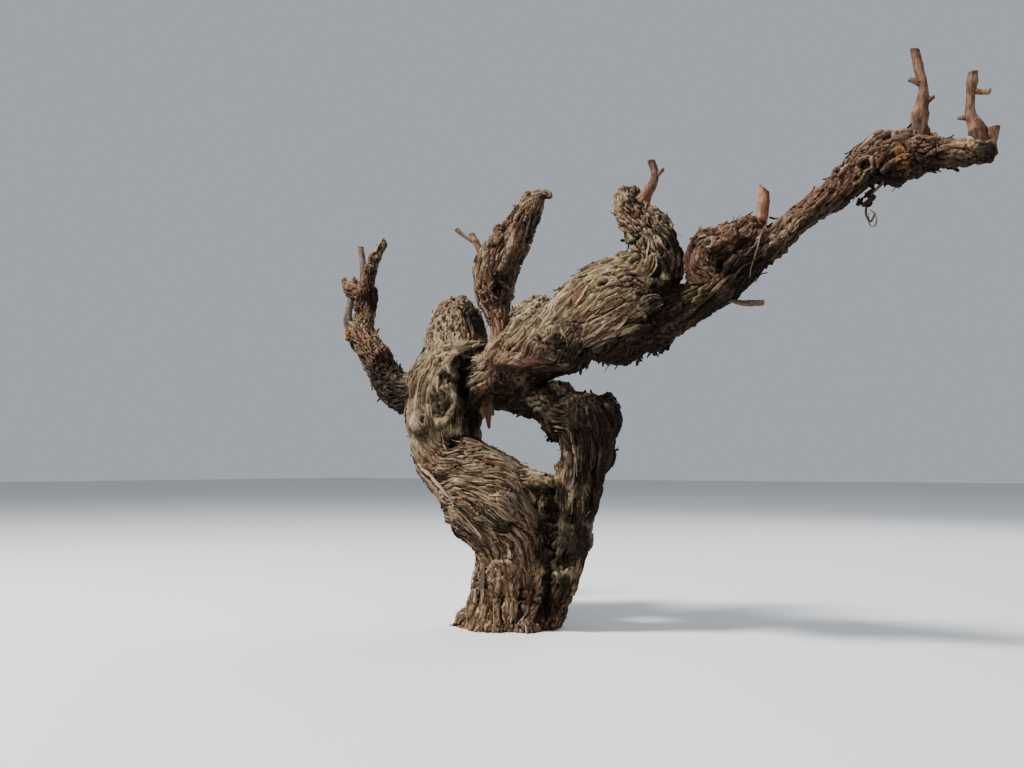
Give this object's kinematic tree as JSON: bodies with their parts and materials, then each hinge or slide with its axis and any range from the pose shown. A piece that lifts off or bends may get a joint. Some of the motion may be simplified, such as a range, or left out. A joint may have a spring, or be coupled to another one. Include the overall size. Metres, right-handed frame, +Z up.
{
  "type": "pruned old grapevine",
  "caption": "Old gnarled bush vine in winter, bare and pruned to spurs: forked trunk, knobbly head, long arm along the row and short upright arms.",
  "frame": {"origin": "centre of the trunk's flat cut at ground level", "axes": "+Z up, +X along the row of vines towards the tip of the long arm, +Y across the row"},
  "size_m": [0.8474, 0.1247, 0.6053],
  "materials": {
    "bark": "rough, stringy and furrowed old bark",
    "smooth_wood": "weathered and lichened old wood",
    "dark_bark": "dark shaggy bark",
    "cane": "smooth orange brown cane bark"
  },
  "bodies": {
    "root": {"trunk": "bark", "left_stem": "bark", "head": "smooth_wood", "dead_stump": "bark", "right_stem": "dark_bark", "main_bough_root": "bark", "main_bough_knuckle": "smooth_wood", "main_bough_reach": "bark", "main_bough_end": "bark", "return_bough": "dark_bark", "left_bough": "bark", "left_bough_tip": "bark", "middle_bough": "bark", "curled_bough": "bark", "elbow_bough": "bark", "left_knot": "dark_bark", "left_thin_spur": "cane", "left_dark_stub": "dark_bark", "left_cane": "cane", "middle_spur": "cane", "middle_twig": "dark_bark", "curled_spur": "cane", "elbow_spur": "cane", "tall_spur": "cane", "forked_spur": "cane", "end_stub": "cane", "twig_stub": "dark_bark", "tendril": "dark_bark", "broken_stub": "smooth_wood", "fork_nub": "bark"}
  },
  "joints": []
}
